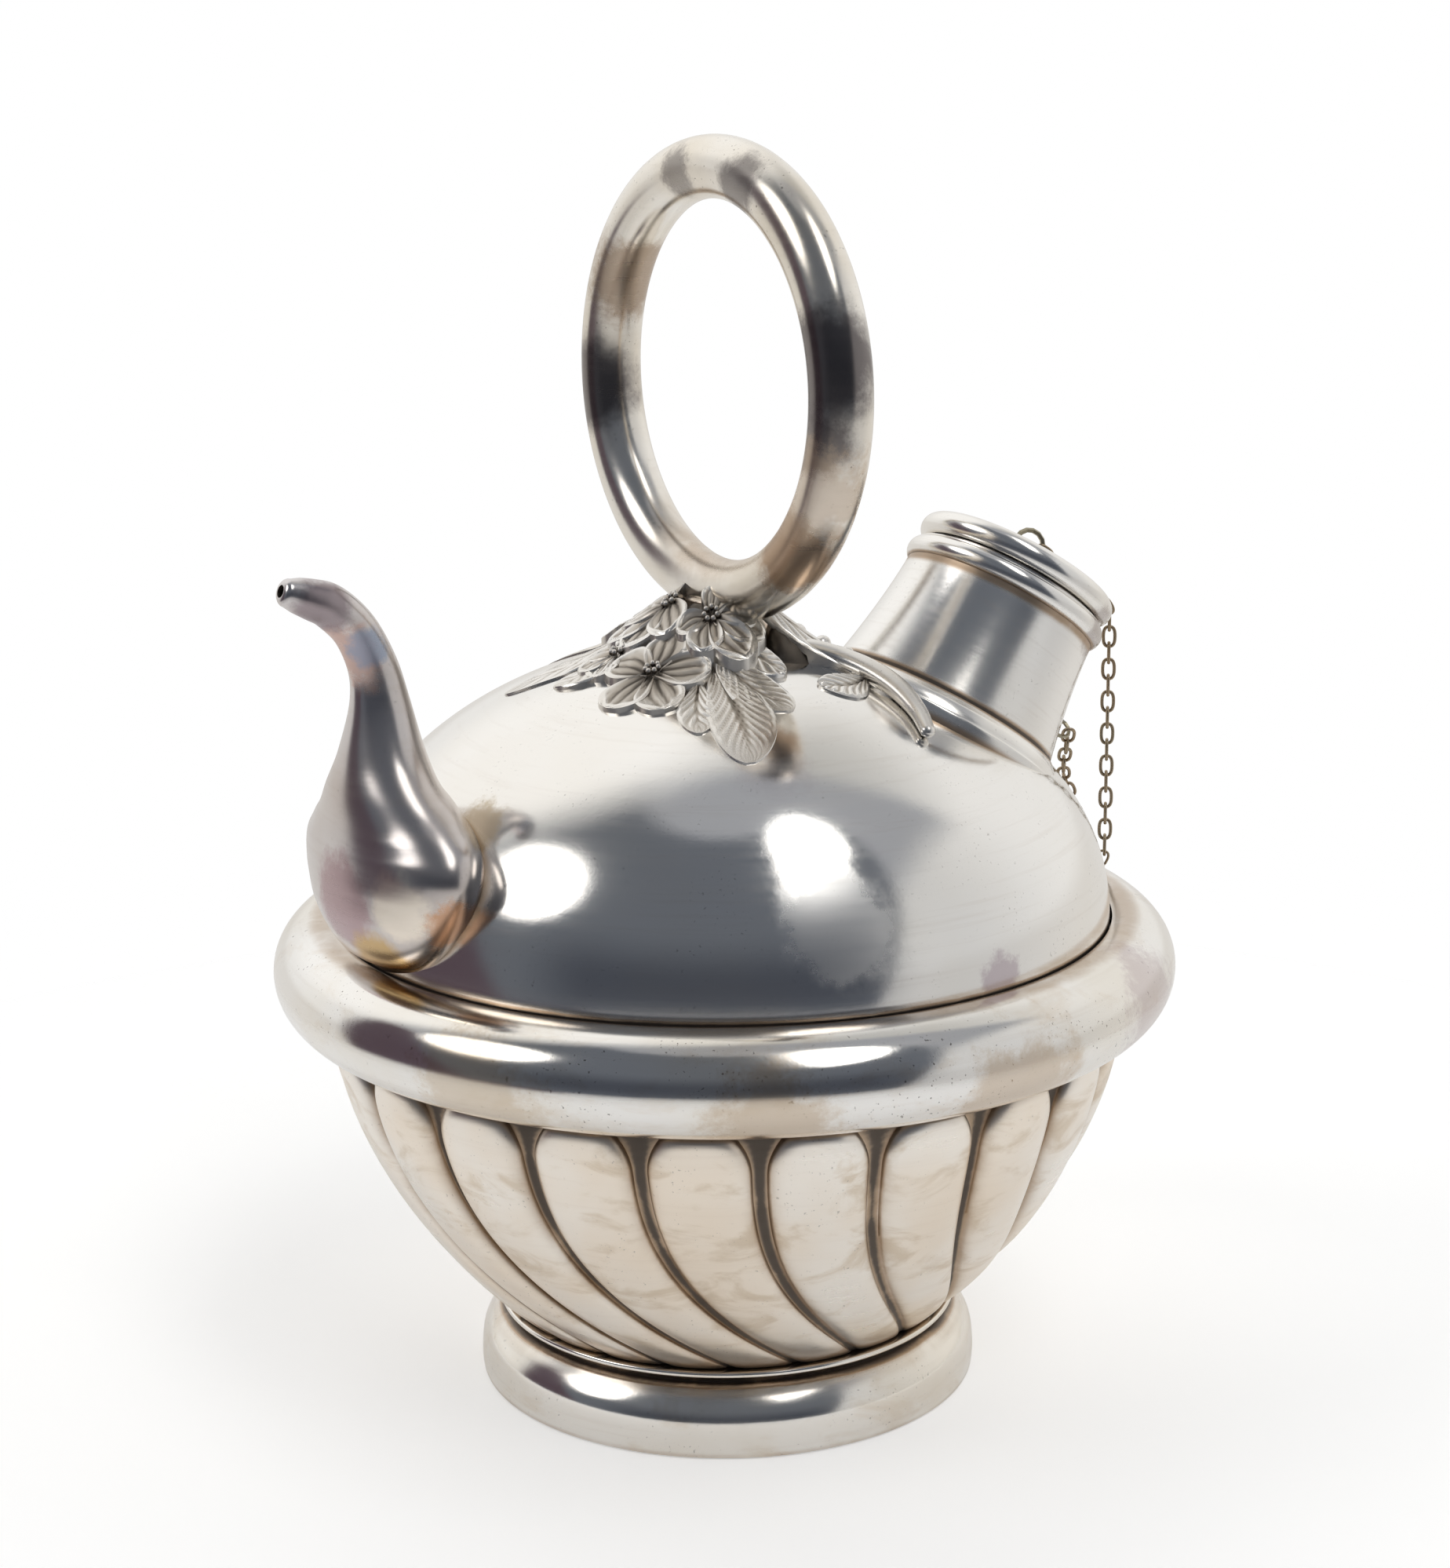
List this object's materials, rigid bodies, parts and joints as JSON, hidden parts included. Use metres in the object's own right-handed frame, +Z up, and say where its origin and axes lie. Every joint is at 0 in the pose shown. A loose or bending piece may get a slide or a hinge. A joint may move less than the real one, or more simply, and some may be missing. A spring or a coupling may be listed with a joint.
{
  "type": "spouted jug",
  "caption": "Round silver jug with swirled fluted bowl, domed top, ring handle, small bent spout and a tilted filler neck with chained stopper",
  "frame": {"origin": "on the bowl axis at the floor", "axes": "+Z up along the bowl axis, -X toward the spout, ring handle in the YZ plane"},
  "size_m": [0.1864, 0.1814, 0.25],
  "materials": {
    "sheet_silver": "raised silver sheet, tarnished, with fine wipe marks",
    "moulded_silver": "drawn and turned silver, worn bright on top",
    "cast_silver": "cast and chased silver, oxidised in the hollows",
    "chain_wire": "dull darkened wire"
  },
  "bodies": {
    "jug": {"foot_ring": "moulded_silver", "bowl": "sheet_silver", "dome": "sheet_silver", "rim_moulding": "moulded_silver", "spout": "sheet_silver", "ring_handle": "moulded_silver", "handle_boss": "sheet_silver", "neck_tube": "sheet_silver", "neck_skirt": "sheet_silver", "neck_lip_bead": "moulded_silver", "neck_staple": "chain_wire", "floral_spray_front": "cast_silver", "floral_spray_neck": "cast_silver", "floral_spray_back": "cast_silver"},
    "stopper": {"stopper_cap": "sheet_silver", "stopper_sleeve": "sheet_silver", "stopper_eye": "chain_wire", "run_link_01": "chain_wire", "run_link_02": "chain_wire", "run_link_03": "chain_wire", "run_link_04": "chain_wire", "run_link_05": "chain_wire", "run_link_06": "chain_wire", "run_link_07": "chain_wire"},
    "chain_fall": {"fall_link_01": "chain_wire", "fall_link_02": "chain_wire", "fall_link_03": "chain_wire", "fall_link_04": "chain_wire", "fall_link_05": "chain_wire", "fall_link_06": "chain_wire", "fall_link_07": "chain_wire", "fall_link_08": "chain_wire", "fall_link_09": "chain_wire", "fall_link_10": "chain_wire", "fall_link_11": "chain_wire", "fall_link_12": "chain_wire", "fall_link_13": "chain_wire", "fall_link_14": "chain_wire", "fall_link_15": "chain_wire", "low_link_01": "chain_wire"},
    "chain_return": {"low_link_02": "chain_wire", "low_link_03": "chain_wire", "return_link_01": "chain_wire", "return_link_02": "chain_wire", "return_link_03": "chain_wire", "return_link_04": "chain_wire", "return_link_05": "chain_wire", "return_link_06": "chain_wire", "return_link_07": "chain_wire", "return_link_08": "chain_wire", "return_link_09": "chain_wire", "return_link_10": "chain_wire", "return_link_11": "chain_wire"}
  },
  "joints": [
    {"name": "stopper_lift", "type": "slide", "parent": "jug", "child": "stopper", "axis": [0.5692, 0.0089, 0.8221], "range_m": [0, 0.012]},
    {"name": "chain_fall_swing", "type": "hinge", "parent": "stopper", "child": "chain_fall", "pos_m": [0.07705, -0.02671, 0.15306], "axis": [-0.1029, 0.9929, 0.0605], "range_deg": [-8.9, 0]},
    {"name": "chain_return_swing", "type": "hinge", "parent": "jug", "child": "chain_return", "pos_m": [0.06381, -0.03058, 0.13076], "axis": [-0.1029, 0.9929, 0.0605], "range_deg": [-30.6, 0]}
  ],
  "couplings": [
    {"joint": "chain_fall_swing", "follows": "stopper_lift", "rad_per_m": -11.5},
    {"joint": "chain_return_swing", "follows": "stopper_lift", "rad_per_m": -43}
  ]
}
